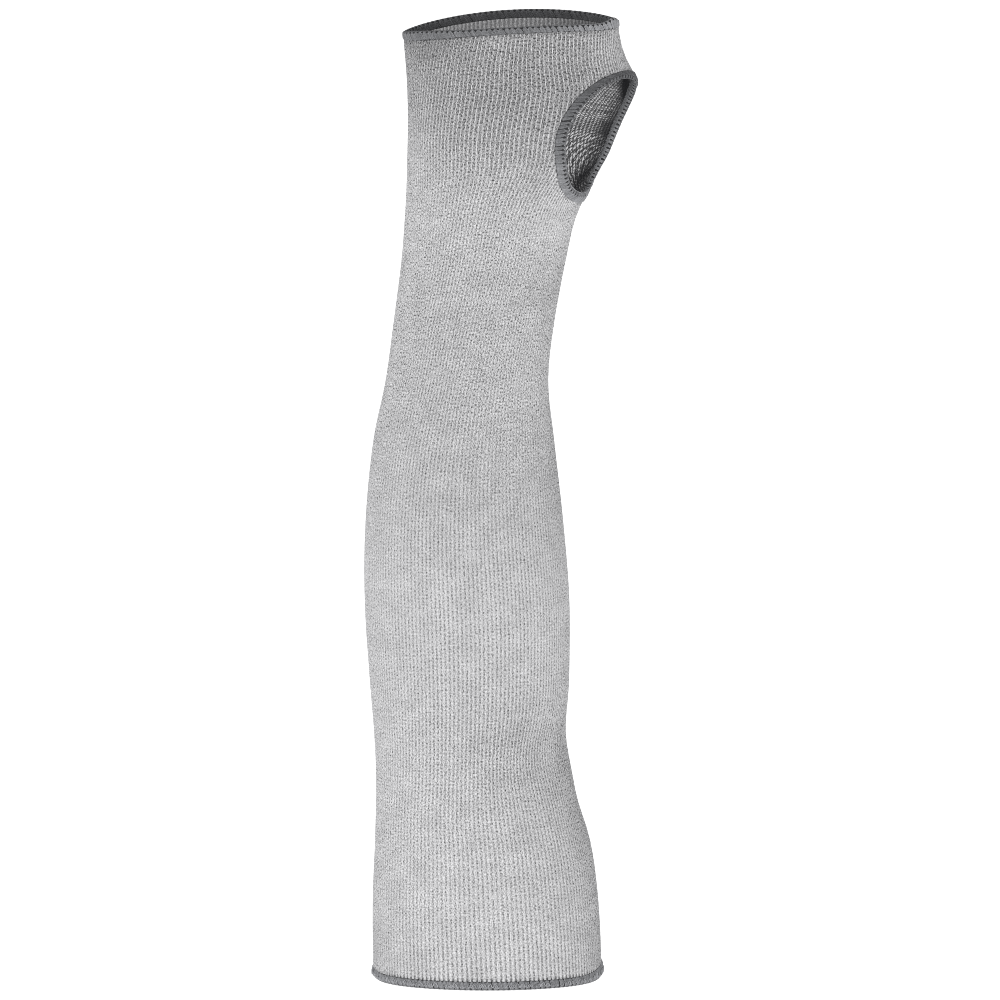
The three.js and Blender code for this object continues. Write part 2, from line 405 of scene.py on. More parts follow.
# %% Roll a flat panel into the knitted tube
KNIT_THICKNESS = 0.0012
WALES = 148
FACES_PER_WALE = 4
PANEL_ROWS = 78
RIB_HEIGHT = 0.00022
HEM_PRESS = 0.0055
PANEL_SEAM_ANGLE = 90

# height and how far the cloth has turned there, in degrees
TWIST = np.array([
    (0.000, 0.0),
    (0.075, 0.0),
    (0.118, 4.8),
    (0.165, 6.8),
    (0.240, 7.4),
    (0.290, 13.2),
    (0.350, 21.6),
    (0.380, 22.2),
    (0.408, 17.6),
    (0.433, 22.0),
    (0.450, 29.0),
    (0.467, 36.0),
])
# height, angle in degrees, further turn in degrees, spread along, spread round in degrees
TWIST_SPOT = (0.474, -62, -7.0, 0.028, 32)


def thumb_distance(angle, height):
    """About how far a place lies outside the thumb opening, in metres."""
    rise = (height - THUMB_MIDDLE_HEIGHT) / THUMB_HALF_HEIGHT
    turn = (degrees_from(angle, THUMB_MIDDLE_ANGLE) + THUMB_LEAN_ANGLE * rise) / THUMB_HALF_ANGLE
    return (np.hypot(rise, turn) - 1) * THUMB_HALF_HEIGHT


knit = add_panel("knit_sleeve", WALES * FACES_PER_WALE, PANEL_ROWS)
panel_points = get_points(knit)
wale = (panel_points[:, 0] + 0.5) * WALES
rise = panel_points[:, 1] + 0.5
turned = np.radians(PANEL_SEAM_ANGLE + smooth_table(TWIST, rise * HAND_EDGE_HEIGHT)[0])
angle = TURN * wale / WALES + turned
twist_height, twist_angle, further, *twist_spread = TWIST_SPOT
here = spot(angle, rise * HAND_EDGE_HEIGHT, twist_height, twist_angle, *twist_spread)
angle = angle + np.radians(further) * here
bottom = arm_edge(-angle / TURN)[1]
top = hand_edge(angle / TURN)[1]
height = bottom + (top - bottom) * rise

edge_distance = np.minimum(np.minimum(height - bottom, top - height), thumb_distance(angle, height))
free_of_hems = np.clip((edge_distance - HEM_PRESS / 2) / (HEM_PRESS / 2), 0, 1)
rib = 1 - (2 * (wale % 1) - 1) ** 2
set_points(knit, lifted_point(angle, height, RIB_HEIGHT * (rib - 0.5) * free_of_hems))
print("knit panel", len(knit.data.polygons), "faces in", WALES, "wales")

# %% [markdown]
# The arm inside doesn't treat the cloth the same everywhere. The hand stretches it most, and an open stitch
# shows more of the dark inside between its bright loops; how open the stitches are also carries painted
# shade, over the hand and along the thumb side, which faces away from the key lamp. At the wrist, where the
# cloth is slack, the ribs hardly show. The soft lighter and darker places that the lamps give the bent arm
# are painted into the yarn's tone as painted light and shade, together with some of the cloth's own tone.
# Inside, painted shade darkens the cloth next to the hems, where little light gets in. All this is stored on
# the points of the mesh as sums of soft spots, so that it rides along with the cloth and the finishes can
# read it.

# %% Mark how the cloth lies on the arm, with its painted light and shade
# height, how far the stitches are pulled open (with painted shade in it), how clearly the ribs show, painted
# light and shade in the yarn's tone
CLOTH_BY_HEIGHT = np.array([
    (0.000, 0.06, 1.00, 1.00),
    (0.070, 0.12, 0.85, 1.00),
    (0.100, 0.16, 0.80, 1.00),
    (0.145, 0.10, 0.95, 0.98),
    (0.190, 0.02, 1.00, 0.97),
    (0.215, 0.05, 0.95, 0.95),
    (0.245, 0.10, 0.80, 0.93),
    (0.280, 0.26, 0.55, 0.99),
    (0.310, 0.36, 0.40, 1.02),
    (0.345, 0.36, 0.40, 1.02),
    (0.370, 0.34, 0.50, 1.02),
    (0.390, 0.45, 0.65, 0.96),
    (0.405, 0.60, 0.85, 0.91),
    (0.420, 0.74, 0.95, 0.88),
    (0.435, 0.84, 1.00, 0.93),
    (0.465, 0.80, 1.00, 1.00),
])

# Spots of openness; the three at angle -5 are painted shade on the thumb side, away from the key lamp.
# height, angle in degrees, how much, spread along, spread round in degrees
OPEN_AND_SHADE_SPOTS = (
    (0.454, -142, 0.25, 0.010, 30),
    (0.447, -15, -0.50, 0.018, 30),
    (0.405, -172, -0.30, 0.032, 35),
    (0.366, -38, -0.25, 0.016, 22),
    (0.338, -35, 0.12, 0.010, 25),
    (0.120, -60, 0.25, 0.018, 38),
    (0.100, -5, 0.35, 0.030, 18),
    (0.030, -5, 0.40, 0.050, 18),
    (0.245, -5, 0.25, 0.030, 18),
)
CLEAR_SPOTS = (
    (0.300, -176, -0.60, 0.300, 36),
    (0.200, -4, -0.50, 0.200, 24),
    (0.320, -114, 0.35, 0.055, 24),
    (0.258, -50, -0.40, 0.028, 30),
    (0.030, -168, -0.40, 0.060, 26),
    (0.040, -12, -0.35, 0.060, 20),
    (0.381, -44, 0.50, 0.014, 30),
    (0.430, -138, 0.35, 0.030, 22),
)
# Painted light and shade on the face of the knit: soft lighter and darker places round the elbow, the wrist
# and the hand.
PAINTED_SHADING_SPOTS = (
    (0.235, -108, -0.05, 0.045, 45),
    (0.310, -170, 0.09, 0.090, 32),
    (0.305, -32, 0.12, 0.050, 40),
    (0.170, -34, 0.09, 0.050, 30),
    (0.105, -165, 0.05, 0.040, 30),
    (0.129, -68, -0.06, 0.010, 26),
    (0.102, -64, 0.06, 0.014, 22),
    (0.020, -65, 0.09, 0.013, 26),
    (0.365, -22, 0.10, 0.014, 24),
    (0.280, -30, 0.06, 0.020, 30),
    (0.315, -112, -0.05, 0.030, 24),
    (0.165, -110, -0.05, 0.018, 26),
    (0.458, -92, 0.07, 0.006, 30),
    (0.015, -172, -0.08, 0.020, 25),
    (0.453, -155, -0.10, 0.009, 30),
    (0.450, -18, 0.13, 0.010, 26),
)
# Painted shade inside the sleeve: a dark strip beside the thumb opening, the bottom of the view through it
# and the cloth under the hand hem, with one spot of painted light.
INNER_SHADE_SPOTS = (
    (0.410, 12, -0.70, 0.060, 20),
    (0.429, 25, -0.66, 0.014, 10),
    (0.406, 37, -0.76, 0.015, 10),
    (0.386, 30, -0.64, 0.009, 10),
    (0.373, 35, -0.60, 0.007, 30),
    (0.386, 55, 0.25, 0.012, 20),
    (0.456, 90, -0.40, 0.012, 90),
    (0.456, 40, -0.40, 0.012, 28),
)


def add_spots(values, spots):
    total = values + np.zeros(len(height))
    for spot_height, spot_angle, amount, along, around in spots:
        total += amount * spot(angle, height, spot_height, spot_angle, along, around)
    return total


openness_and_shade, clearness, painted_shading = smooth_table(CLOTH_BY_HEIGHT, height)
mark_points(knit, "openness_and_shade", add_spots(openness_and_shade, OPEN_AND_SHADE_SPOTS))
mark_points(knit, "clearness", add_spots(clearness, CLEAR_SPOTS))
mark_points(knit, "painted_face_shading", add_spots(painted_shading, PAINTED_SHADING_SPOTS))
mark_points(knit, "painted_inner_shade", add_spots(1.0, INNER_SHADE_SPOTS))
merge_seams(knit)
print("stored on the knit:", ", ".join(sorted(knit.data.attributes.keys())))

# %% [markdown]
# Solidify gives the rolled panel its thickness, inwards, because the sections are those of the outer face.
# The inner faces get the second material, since the back of a jersey knit looks different from its face.
# The thumb opening is then cut through the wall with a plug: a cylinder whose two rims are moved onto the
# oval, one outside the wall and one inside it, with the middles of its caps pulled well away from the wall.

# %% Give the knit its thickness and cut the thumb opening
THUMB_CUT_SIDES = 96
THUMB_CUT_MARGIN = 0.002
THUMB_CUT_REACH = 0.060

for name in ("knit_face", "knit_back"):
    knit.data.materials.append(bpy.data.materials.new(name))
apply_modifier(knit, "SOLIDIFY", thickness=KNIT_THICKNESS, offset=-1, material_offset=1)

deselect_all()
bpy.ops.mesh.primitive_cylinder_add(vertices=THUMB_CUT_SIDES, end_fill_type="TRIFAN")
plug = bpy.context.object
plug_points = get_points(plug)
plug_out = plug_points[:, 2] > 0
plug_middle = np.hypot(plug_points[:, 0], plug_points[:, 1]) < 0.5
plug_angle, plug_height = thumb_edge(np.arctan2(plug_points[:, 1], plug_points[:, 0]) / TURN)
plug_angle[plug_middle] = math.radians(THUMB_MIDDLE_ANGLE)
plug_height[plug_middle] = THUMB_MIDDLE_HEIGHT
plug_lift = np.where(plug_out, THUMB_CUT_MARGIN, -KNIT_THICKNESS - THUMB_CUT_MARGIN)
plug_lift[plug_middle] = np.where(plug_out[plug_middle], THUMB_CUT_REACH, -THUMB_CUT_REACH)
set_points(plug, lifted_point(plug_angle, plug_height, plug_lift))
apply_modifier(knit, "BOOLEAN", object=plug, operation="DIFFERENCE", solver="MANIFOLD")
bpy.data.objects.remove(plug)
select_only(knit)
bpy.ops.object.shade_smooth()
print("knit with thumb opening", len(knit.data.polygons), "faces")

# %% [markdown]
# ## The overlocked hems
#
# An overlock machine wraps each raw edge with thread: bundles of thread cross the face side by side, turn
# over the edge and come back on the inside, and a chain of thread runs along the very edge. Laying every
# thread by hand would be long, so one stitch is modelled flat, repeated in a row with an Array, and the row
# is then bent onto the edge. A nearly black core lies under the threads: it is painted shade, so that the
# gaps between them look deep instead of showing the knit.
#
# A place on a hem has three measures: the share of the way along the edge, the inset from the edge into
# the cloth, and the lift out of the face.

# %% Places along a hem
SMALL_SHARE = 1e-4


def dot(first, second):
    return (first * second).sum(axis=-1)


def even_shares(edge):
    """Turns an even way along an edge, by length, into the edge's own share."""
    steps = np.linalg.norm(np.diff(face_point(*edge(EDGE_SHARES)), axis=0), axis=1)
    run = np.concatenate([[0], np.cumsum(steps)])
    return lambda way: np.floor(way) + np.interp(way % 1, run / run[-1], EDGE_SHARES)


def hem_point(edge, share, inset, lift):
    """Points at an inset from an edge, following the curve of the face, and at a lift from the face."""
    angle, height = edge(share)
    around, up = face_tangents(angle, height)
    along = face_point(*edge(share + SMALL_SHARE)) - face_point(*edge(share - SMALL_SHARE))
    inward = unit(np.cross(along, np.cross(around, up)))
    area = dot(around, around) * dot(up, up) - dot(around, up) ** 2
    turn_rate = (dot(inward, around) * dot(up, up) - dot(inward, up) * dot(around, up)) / area
    rise_rate = (dot(inward, up) * dot(around, around) - dot(inward, around) * dot(around, up)) / area
    return lifted_point(angle + inset * turn_rate, height + inset * rise_rate, lift)


print("middle of the thumb edge, by length, is at share", round(float(even_shares(thumb_edge)(0.5)), 3))

# %% [markdown]
# The core is a band folded round the raw edge, close under the threads, and its dark colour is the painted
# shade between them. It reaches a little past the ends of the threads, which paints a thin line of shadow
# where the hem meets the knit. It could be swept along a curve, but a curve twists where the edge bends. So
# it starts as a flat panel too: across the panel is the way along the edge, and up the panel is the way round
# the core's section. A hem isn't equally wide all round, so each plan also has a width at each place, which
# stretches the insets.

# %% The dark core under the threads, a painted shadow
CORE_CLEARANCE = 0.00008
CORE_PROUD = 0.00014
CORE_NOSE = 0.00045
CORE_TAPER = 0.0003
CORE_SHOULDER = 0.8
# How far the core reaches past the threads: a thin painted line of shadow at the hem's edge.
CORE_EXTRA = 0.0001
CORE_STEPS = 180


def core_section(reach, reach_inside):
    """Inset and lift of the core's section, a band folded round the edge of the knit."""
    back = -KNIT_THICKNESS
    return np.array([
        (reach, CORE_CLEARANCE),
        (reach - CORE_TAPER, CORE_PROUD),
        (0.0, CORE_PROUD),
        (-CORE_NOSE * CORE_SHOULDER, back * (1 - CORE_SHOULDER)),
        (-CORE_NOSE, back / 2),
        (-CORE_NOSE * CORE_SHOULDER, back * CORE_SHOULDER),
        (0.0, back - CORE_PROUD),
        (reach_inside - CORE_TAPER, back - CORE_PROUD),
        (reach_inside, back - CORE_CLEARANCE),
        (-CORE_CLEARANCE, back - CORE_CLEARANCE),
        (-CORE_CLEARANCE, CORE_CLEARANCE),
    ])


def turn_faces_out(piece):
    select_only(piece)
    bpy.ops.object.mode_set(mode="EDIT")
    bpy.ops.mesh.select_all(action="SELECT")
    bpy.ops.mesh.normals_make_consistent(inside=False)
    bpy.ops.object.mode_set(mode="OBJECT")
    bpy.ops.object.shade_smooth()


def widen(plan, share, inset):
    """The inset of points from the edge, where the hem has a width of its own at each place."""
    return inset * np.where(inset > 0, plan["width"](*plan["edge"](share)), 1)


def add_core(name, plan):
    edge = plan["edge"]
    section = core_section(plan["reach"] + CORE_EXTRA, plan["reach"] * plan["inside_share"] + CORE_EXTRA)
    core = add_panel(name, CORE_STEPS, len(section))
    flat = get_points(core)
    corner = np.rint((flat[:, 1] + 0.5) * len(section)).astype(int) % len(section)
    inset, lift = section[corner].T
    share = even_shares(edge)(flat[:, 0] + 0.5)
    set_points(core, hem_point(edge, share, widen(plan, share, inset), lift))
    merge_seams(core)
    turn_faces_out(core)
    return core


print("core section with", len(core_section(1, 1)), "corners")

# %% [markdown]
# A thread is a Bezier curve through a few points with a round bevel, converted to a mesh. It could be built
# from cylinders, but a curve needs only its points and a radius. A thread is between one and two pixels wide
# in the picture, so four sides and one step between two points are enough.

# %% Threads
def add_thread(points, radius):
    """A thread through points of the flat stitch: along, inset and lift, in metres."""
    deselect_all()
    bpy.ops.curve.primitive_bezier_curve_add()
    thread = bpy.context.object
    spline = thread.data.splines[0]
    spline.bezier_points.add(len(points) - len(spline.bezier_points))
    for knot, point in zip(spline.bezier_points, points):
        knot.co = point
        knot.handle_left_type = "AUTO"
        knot.handle_right_type = "AUTO"
    thread.data.bevel_depth = radius
    thread.data.bevel_resolution = 0
    thread.data.resolution_u = 1
    thread.data.use_fill_caps = True
    bpy.ops.object.convert(target="MESH")
    return bpy.context.object


def join(pieces, name):
    deselect_all()
    for piece in pieces:
        piece.select_set(True)
    bpy.context.view_layer.objects.active = pieces[0]
    bpy.ops.object.join()
    joined = bpy.context.object
    joined.name = name
    return joined


# %% [markdown]
# A stitch is a few threads joined: the bundle that wraps the edge, and one step of the chain thread that runs
# along the edge. Where the bundle turns over the edge it is pinched, which leaves a pit between two stitches,
# dark with the painted shade of the core. The arm hem also has a loose loop that lies over the other threads.

# %% One overlock stitch, laid flat
SCALLOP = 0.0004
WRAP_SINK = 0.35
WRAP_END_SINK = 0.4
WRAP_BEND = 1.4
PINCH_LIFT = 0.9
NOSE_SPREAD = 0.9
NOSE_INSET = 1.2
CHAIN_RADIUS = 0.00026
CHAIN_SAG = 1.5
LOOP_LIFT = 2.4


def wrap_threads(pitch, plan):
    """Threads that cross the face side by side, turn over the edge and come back inside."""
    radius = plan["radius"]
    reach = plan["reach"]
    reach_inside = reach * plan["inside_share"]
    outside = CORE_PROUD + radius * WRAP_SINK
    inside = -KNIT_THICKNESS - outside
    end_sink = radius * WRAP_END_SINK
    bend = radius * WRAP_BEND
    threads = []
    for number in range(plan["count"]):
        spread = pitch * ((number + 0.5) / plan["count"] - 0.5)
        pinched = spread * plan["pinch"]
        short = SCALLOP * (2 * spread / pitch) ** 2
        threads.append(add_thread((
            (spread, reach - short, -end_sink),
            (spread, reach - short - bend, outside),
            (spread, plan["pit"], outside),
            (pinched, plan["pit_start"], outside * PINCH_LIFT),
            (spread * NOSE_SPREAD, -plan["nose"] + radius * NOSE_INSET, -KNIT_THICKNESS / 2),
            (pinched, plan["pit_start"], inside + outside * (1 - PINCH_LIFT)),
            (spread, plan["pit"], inside),
            (spread, reach_inside - short - bend, inside),
            (spread, reach_inside - short, -KNIT_THICKNESS + end_sink),
        ), radius))
    return threads


def chain_threads(pitch, nose):
    """The thread of the chain that runs along the very edge and closes the pits between two stitches."""
    return [add_thread((
        (-0.5 * pitch, -nose + CHAIN_RADIUS, -KNIT_THICKNESS / 2),
        (0, -nose + CHAIN_RADIUS * CHAIN_SAG, -KNIT_THICKNESS / 2),
        (0.5 * pitch, -nose + CHAIN_RADIUS, -KNIT_THICKNESS / 2),
    ), CHAIN_RADIUS)]


def loop_threads(pitch, reach, radius):
    """A loose loop of thread that lies over the other threads on the face."""
    lift = CORE_PROUD + radius * LOOP_LIFT
    return [add_thread((
        (-0.60 * pitch, 0.15 * reach, lift - radius),
        (-0.35 * pitch, 0.60 * reach, lift),
        (-0.05 * pitch, 0.75 * reach, lift),
        (0.15 * pitch, 0.40 * reach, lift),
        (0.40 * pitch, 0.20 * reach, lift),
        (0.60 * pitch, 0.55 * reach, lift - radius),
    ), radius)]


print("chain thread", round(CHAIN_RADIUS * 2000, 2), "mm thick")

# %% [markdown]
# Each hem has a plan with its measures in metres and its tones, partly the threads' own and partly painted
# light and shade. The hand hem is narrow and firm, the thumb hem is wide, with bundles that gather into
# wedges on its front, and the arm hem is loose. The width of a hem also changes along it: the thumb hem is
# narrow at its top and wide at its upper corner, and the arm hem curls up on the thumb side. Slants and tones
# change evenly from the lowest place of a hem to its highest; on the thumb hem this is painted light at its
# bottom and painted shade at its top. The inside of a hem has a tone of its own, painted shade in the hand
# and arm hems and painted light in the thumb hem, and the hand hem is lighter at its front corner by the
# thumb.

# %% Plans of the three hems
HAND_HEM_REACH = 0.0023
THUMB_HEM_NARROWING = 0.45
THUMB_HEM_WIDENING = 0.4
ARM_HEM_WIDENING = 0.8
ARM_HEM_WIDE_SPREAD = 21
# height, angle in degrees, spread along and spread round of the narrowest and widest place of the thumb hem
THUMB_HEM_NARROW = (0.437, -28, 0.012, 24)
THUMB_HEM_WIDE = (0.431, 14, 0.010, 14)


def hand_hem_width(angle, height):
    """The hand hem ends on an even line, also where its edge rises."""
    return 1 + hand_edge_rise(angle) / HAND_HEM_REACH


def thumb_hem_width(angle, height):
    narrowing = THUMB_HEM_NARROWING * spot(angle, height, *THUMB_HEM_NARROW)
    return 1 - narrowing + THUMB_HEM_WIDENING * spot(angle, height, *THUMB_HEM_WIDE)


def arm_hem_width(angle, height):
    """The arm hem curls up a little on the thumb side."""
    return 1 + ARM_HEM_WIDENING * np.exp(-(degrees_from(angle, 0) / ARM_HEM_WIDE_SPREAD) ** 2)


HEMS = {
    "hand_hem": {
        "edge": hand_edge, "width": hand_hem_width, "reach": HAND_HEM_REACH, "inside_share": 1.35,
        "nose": 0.00095, "pitch": 0.0027, "count": 5, "radius": 0.00034, "loop_radius": 0,
        "pinch": 0.15, "pit_start": -0.0003, "pit": 0.0004,
        "gather": 0.20, "gather_height": 0.460, "gather_angle": -50, "low_slant": 0.5, "high_slant": 0.5,
        "low_tone_and_shade": 0.94, "high_tone_and_shade": 0.90, "inside_painted_shading": 0.61, "end_tone": 0.80,
    },
    "thumb_hem": {
        "edge": thumb_edge, "width": thumb_hem_width, "reach": 0.0040, "inside_share": 0.75,
        "nose": 0.00145, "pitch": 0.0021, "count": 4, "radius": 0.00034, "loop_radius": 0,
        "pinch": 0.30, "pit_start": 0.0004, "pit": 0.0012,
        "gather": 0.34, "gather_height": 0.418, "gather_angle": -70, "low_slant": -1.4, "high_slant": 2.2,
        "low_tone_and_shade": 1.38, "high_tone_and_shade": 0.66, "inside_painted_shading": 1.15, "end_tone": 0,
    },
    "arm_hem": {
        "edge": arm_edge, "width": arm_hem_width, "reach": 0.0034, "inside_share": 1.0,
        "nose": 0.00095, "pitch": 0.0026, "count": 4, "radius": 0.00038, "loop_radius": 0.00026,
        "pinch": 0.75, "pit_start": 0.0004, "pit": 0.0010,
        "gather": 0.15, "gather_height": 0.0, "gather_angle": -60, "low_slant": 0.35, "high_slant": 0.35,
        "low_tone_and_shade": 1.20, "high_tone_and_shade": 1.20, "inside_painted_shading": 0.8, "end_tone": 0,
    },
}
for node, plan in HEMS.items():
    print(node, "has about", round(edge_length(plan["edge"]) / plan["pitch"]), "stitches")

# %% [markdown]
# The stitch is repeated by an Array modifier along a straight line, and every point of the row is then
# moved to its place on the edge. No two stitches of a real seam are the same, so each is shifted, gathered
# and swollen a little by chance, and each strand has a tone of its own. The chance numbers are seeded, so
# the seam comes out the same each time.

# %% Repeat the stitch and bend the row onto its edge
CHAIN_TONE = 0.9
LOOP_TONE = 1.4
LOOP_SHIFT = 0.35
LOOP_SIZES = (0.6, 1.1)
STITCH_SHIFT = 0.05
STITCH_SWELL = 0.08
STRAND_TONE = 0.12
LIGHT_END_ANGLE = -30
LIGHT_END_SPREAD = 35
GATHER_ALONG = 0.025
GATHER_AROUND = 30
GATHER_SHARES = (0.5, 1.0)
rng = np.random.default_rng(148)


def one_stitch(name, pitch, plan):
    """The threads of one stitch, joined, each point marked with its strand's number and tone."""
    strands = wrap_threads(pitch, plan)
    tones = [1.0] * plan["count"]
    strands += chain_threads(pitch, plan["nose"])
    tones.append(CHAIN_TONE)
    if plan["loop_radius"]:
        strands += loop_threads(pitch, plan["reach"], plan["loop_radius"])
        tones.append(LOOP_TONE)
    for number, (strand, tone) in enumerate(zip(strands, tones)):
        mark_points(strand, "strand", number)
        mark_points(strand, "thread_tone_and_shade", tone)
    return join(strands, name), len(strands)


def add_stitches(name, plan):
    edge = plan["edge"]
    stitches = round(edge_length(edge) / plan["pitch"])
    pitch = edge_length(edge) / stitches
    row, strands = one_stitch(name, pitch, plan)
    points_per_stitch = len(row.data.vertices)
    apply_modifier(
        row, "ARRAY", count=stitches, use_relative_offset=False,
        use_constant_offset=True, constant_offset_displace=(pitch, 0, 0),
    )
    flat = get_points(row)
    stitch = np.arange(len(flat)) // points_per_stitch
    strand = np.rint(read_marks(row, "strand")).astype(int)
    wraps = strand < plan["count"]
    loops = strand > plan["count"]
    outer = flat[:, 2] > -KNIT_THICKNESS / 2
    along_edge = even_shares(edge)
    place = edge(along_edge(np.arange(stitches) / stitches))
    rise = (place[1] - place[1].min()) / np.ptp(place[1])

    def by_rise(low, high):
        return (low + (high - low) * rise)[stitch]

    near = spot(*place, plan["gather_height"], plan["gather_angle"], GATHER_ALONG, GATHER_AROUND)
    gathered = 1 - plan["gather"] * near * rng.uniform(*GATHER_SHARES, stitches)
    shift = rng.normal(0, STITCH_SHIFT * pitch, stitches)
    loop_shift = rng.normal(0, LOOP_SHIFT * pitch, stitches)
    loop_size = rng.uniform(*LOOP_SIZES, stitches)
    loop_turn = rng.choice((-1, 1), stitches)
    swell = 1 + rng.normal(0, STITCH_SWELL, stitches)
    inset = np.where(loops, flat[:, 1] * loop_size[stitch], flat[:, 1])
    lean = np.clip(inset / plan["reach"], 0, 1) * by_rise(plan["low_slant"], plan["high_slant"]) * pitch
    aside = flat[:, 0] - stitch * pitch
    aside = np.where(wraps, aside * gathered[stitch] + shift[stitch] + np.where(outer, lean, -lean), aside)
    aside = np.where(loops, aside * (loop_size * loop_turn)[stitch] + loop_shift[stitch], aside)
    way = (stitch * pitch + aside) / (pitch * stitches)
    lift = -KNIT_THICKNESS / 2 + (flat[:, 2] + KNIT_THICKNESS / 2) * swell[stitch]
    share = along_edge(way)
    set_points(row, hem_point(edge, share, widen(plan, share, inset), lift))
    turn_faces_out(row)

    # Tones by height and on the inside are painted light and shade; the chance tone of each strand is the
    # thread's own.
    tone = read_marks(row, "thread_tone_and_shade") * by_rise(plan["low_tone_and_shade"], plan["high_tone_and_shade"])
    tone = tone * (1 + rng.normal(0, STRAND_TONE, (stitches, strands))[stitch, strand])
    end = np.exp(-(degrees_from(place[0], LIGHT_END_ANGLE) / LIGHT_END_SPREAD) ** 2)
    tone = tone * np.where(outer, 1 + plan["end_tone"] * end[stitch], plan["inside_painted_shading"])
    row.data.attributes["thread_tone_and_shade"].data.foreach_set("value", tone)
    print(name, "has", stitches, "stitches,", len(row.data.polygons), "faces")
    return row


cores = []
stitch_rows = []
for node, plan in HEMS.items():
    cores.append(add_core(node + "_core", plan))
    stitch_rows.append(add_stitches(node + "_stitches", plan))
    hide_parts(node)
    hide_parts(node)

# %% [markdown]
# ## The finishes
#
# All the finishes are nodes. A small helper adds a node, sets its options and inputs, and links what is
# given as a socket, which keeps the recipes short.

# %% Helpers for nodes
def add_node(tree, kind, inputs=(), **options):
    """A new node. Inputs are given by name or number, as values or as sockets to link."""
    node = tree.nodes.new("ShaderNode" + kind)
    for option, value in options.items():
        setattr(node, option, value)
    for key, value in dict(inputs).items():
        if isinstance(value, bpy.types.NodeSocket):
            tree.links.new(value, node.inputs[key])
        else:
            node.inputs[key].default_value = value
    return node


def calculate(tree, operation, *values):
    return add_node(tree, "Math", enumerate(values), operation=operation).outputs[0]


def fade(tree, value, start, end, low=0.0, high=1.0):
    """A smooth step from low, where the value is at start, to high, where it is at end."""
    inputs = {"Value": value, "From Min": start, "From Max": end, "To Min": low, "To Max": high}
    return add_node(tree, "MapRange", inputs, interpolation_type="SMOOTHSTEP").outputs["Result"]


def mix(tree, share, first, second):
    """A number part of the way from the first to the second."""
    return add_node(tree, "Mix", {0: share, 2: first, 3: second}).outputs[0]


def mix_colours(tree, share, first, second):
    """A colour part of the way from the first to the second."""
    return add_node(tree, "Mix", {0: share, 6: first, 7: second}, data_type="RGBA").outputs[2]


def open_finish(name, roughness, shine):
    """The node tree of a material, and its shader with a roughness and a shine."""
    finish = bpy.data.materials.get(name) or bpy.data.materials.new(name)
    finish.use_nodes = True
    shader = finish.node_tree.nodes["Principled BSDF"]
    shader.inputs["Roughness"].default_value = roughness
    shader.inputs["Specular IOR Level"].default_value = shine
    return finish.node_tree, shader


def add_group(tree, group, **inputs):
    node = add_node(tree, "Group", node_tree=group)
    for name, value in inputs.items():
        node.inputs[name].default_value = value
    return node


# %% [markdown]
# Thread is spun from loose fibres, so its tone and height change over tenths of a millimetre. The hem threads
# and the core below them share this effect, so it is a node group with a scale to set.

# %% Fibres, shared by the finishes of the hems
fibres = bpy.data.node_groups.new("yarn_fibres", "ShaderNodeTree")
fibres.interface.new_socket("Scale", in_out="INPUT", socket_type="NodeSocketFloat")
fibres.interface.new_socket("Fibre", in_out="OUTPUT", socket_type="NodeSocketFloat")
fibres_in = fibres.nodes.new("NodeGroupInput")
fibres_out = fibres.nodes.new("NodeGroupOutput")
fibre_place = add_node(fibres, "TexCoord").outputs["Object"]
fibre_noise = add_node(fibres, "TexNoise", {
    "Vector": fibre_place, "Scale": fibres_in.outputs["Scale"], "Detail": 2.0, "Roughness": 0.6,
})
fibres.links.new(fibre_noise.outputs["Fac"], fibres_out.inputs["Fibre"])
print("made node group", fibres.name)

# %% [markdown]
# Face and back of the knit share the places of the stitches: the flat map is multiplied by the number of
# wales and of courses, so each stitch is one square cell. A Voronoi texture with one point in each cell
# gives a distance from the middle of the stitch and a chance value of its own for each. Noises of four
# sizes make the wales wobble, vary the yarn over a few stitches, mottle the cloth over many, and give the
# fine grain, which is longer up the wale than across it.

# %% Stitch cells, shared by the face and the back of the knit
COURSES = 300
CELL_SCATTER = 0.55
WOBBLE_SCALE = 0.9
PATCH_SCALE = 0.45
MOTTLE_SCALE = 0.16
GRAINS_ACROSS = 5.0
GRAINS_UP = 1.7

cells = bpy.data.node_groups.new("stitch_cells", "ShaderNodeTree")
cells.interface.new_socket("Wobble", in_out="INPUT", socket_type="NodeSocketFloat")
cells_in = cells.nodes.new("NodeGroupInput")
cells_out = cells.nodes.new("NodeGroupOutput")


def multiply_place(place, factors):
    return add_node(cells, "VectorMath", {0: place, 1: factors}, operation="MULTIPLY").outputs[0]


def cell_noise(place, scale, detail):
    inputs = {"Vector": place, "Scale": scale, "Detail": detail}
    return add_node(cells, "TexNoise", inputs, noise_dimensions="2D").outputs["Fac"]


cell_map = add_node(cells, "UVMap", uv_map="flat_map").outputs["UV"]
cell_place = multiply_place(cell_map, (WALES, COURSES, 0))
wobble = calculate(cells, "SUBTRACT", cell_noise(cell_place, WOBBLE_SCALE, 1.0), 0.5)
wobble = calculate(cells, "MULTIPLY", wobble, cells_in.outputs["Wobble"])
cell_axes = add_node(cells, "SeparateXYZ", {0: cell_place})
cell_wale = calculate(cells, "ADD", cell_axes.outputs["X"], wobble)
cell_course = cell_axes.outputs["Y"]
cell_spot = add_node(cells, "CombineXYZ", {
    "X": calculate(cells, "ADD", cell_wale, CELL_SCATTER / 2),
    "Y": calculate(cells, "ADD", cell_course, CELL_SCATTER / 2),
})
cell_points = add_node(cells, "TexVoronoi", {
    "Vector": cell_spot.outputs[0], "Scale": 1.0, "Randomness": CELL_SCATTER,
}, voronoi_dimensions="2D")
